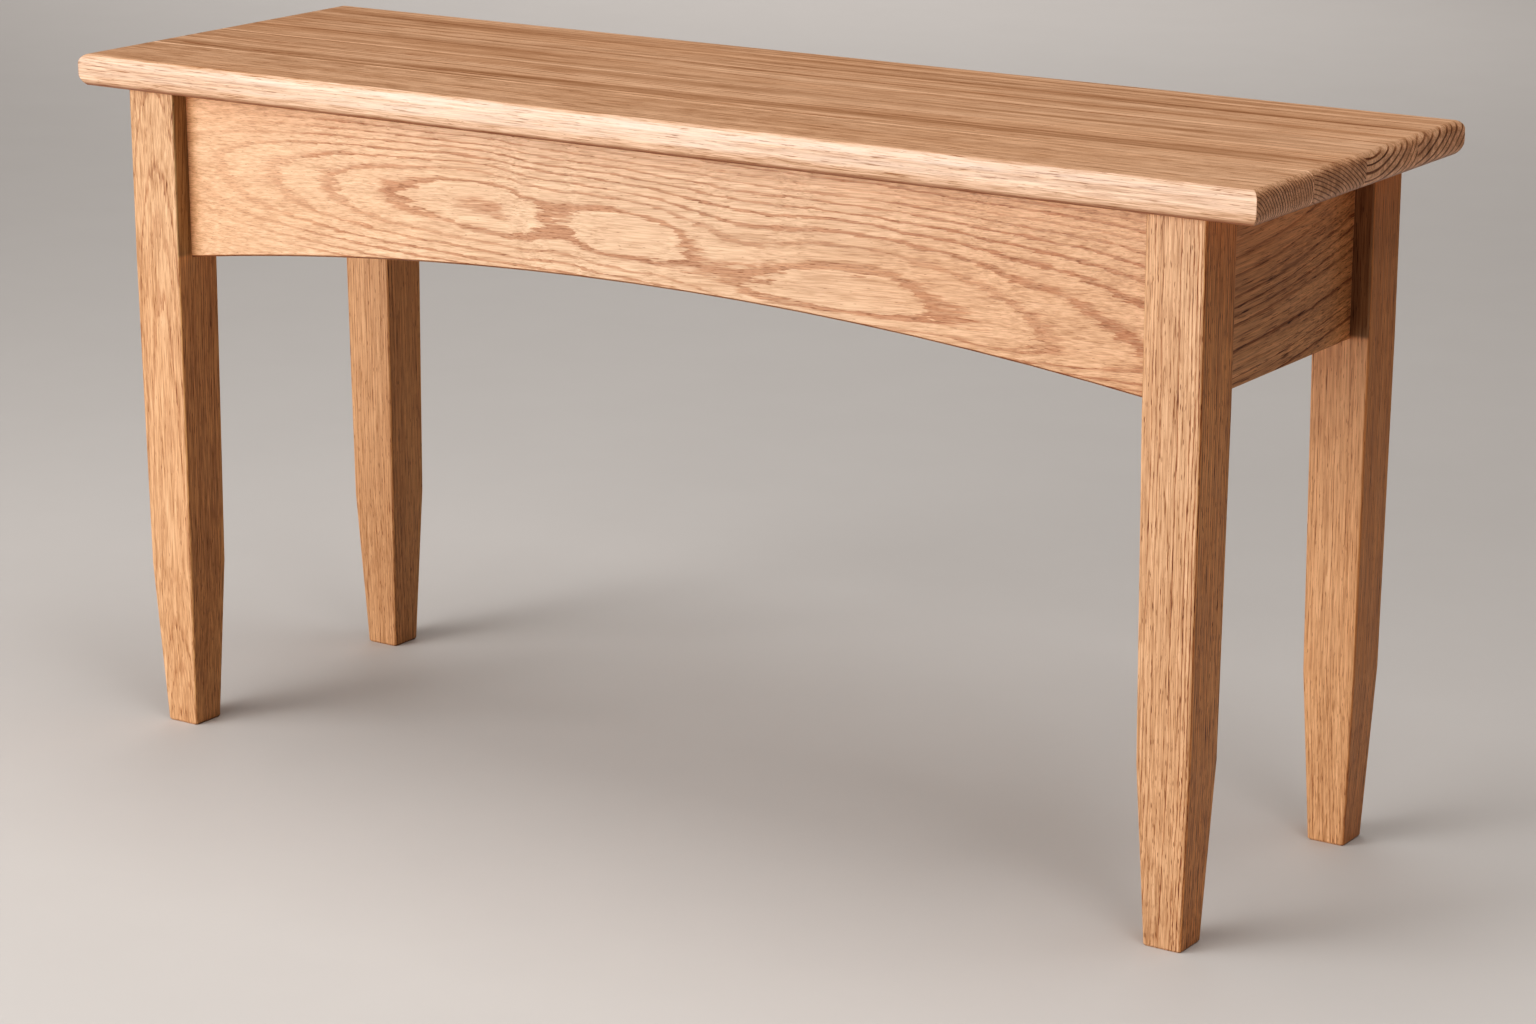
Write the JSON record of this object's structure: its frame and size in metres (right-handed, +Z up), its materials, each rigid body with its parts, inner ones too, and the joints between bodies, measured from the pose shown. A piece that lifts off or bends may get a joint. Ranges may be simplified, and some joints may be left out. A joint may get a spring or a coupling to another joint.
{
  "type": "hall bench",
  "caption": "Narrow wooden bench with a moulded edge-glued seat on tapered legs, joined by arched long aprons and straight short aprons.",
  "frame": {"origin": "on the floor, under the middle of the seat", "axes": "+X along the bench to its right end, +Y to its rear, +Z up; the front apron faces -Y"},
  "size_m": [0.864, 0.273, 0.457],
  "materials": {
    "oak_seat": "clear satin lacquer on oak, grain along the bench",
    "oak_legs": "clear satin lacquer on oak, grain along the leg",
    "oak_aprons": "clear satin lacquer on plain-sawn oak, grain along the apron",
    "hidden_oak": "sanded oak, sealed",
    "screw_steel": "zinc plated"
  },
  "bodies": {
    "root": {"top_board_front": "oak_seat", "top_board_mid_front": "oak_seat", "top_board_mid_rear": "oak_seat", "top_board_rear": "oak_seat", "leg_front_left": "oak_legs", "leg_front_right": "oak_legs", "leg_rear_left": "oak_legs", "leg_rear_right": "oak_legs", "apron_front": "oak_aprons", "apron_rear": "oak_aprons", "apron_left": "oak_aprons", "apron_right": "oak_aprons", "corner_block_front_left": "hidden_oak", "corner_block_front_right": "hidden_oak", "corner_block_rear_left": "hidden_oak", "corner_block_rear_right": "hidden_oak", "button_front_left": "hidden_oak", "button_front_middle": "hidden_oak", "button_front_right": "hidden_oak", "button_rear_left": "hidden_oak", "button_rear_middle": "hidden_oak", "button_rear_right": "hidden_oak", "button_left_front": "hidden_oak", "button_left_rear": "hidden_oak", "button_right_front": "hidden_oak", "button_right_rear": "hidden_oak", "corner_block_screws": "screw_steel", "button_screws": "screw_steel"}
  },
  "joints": []
}
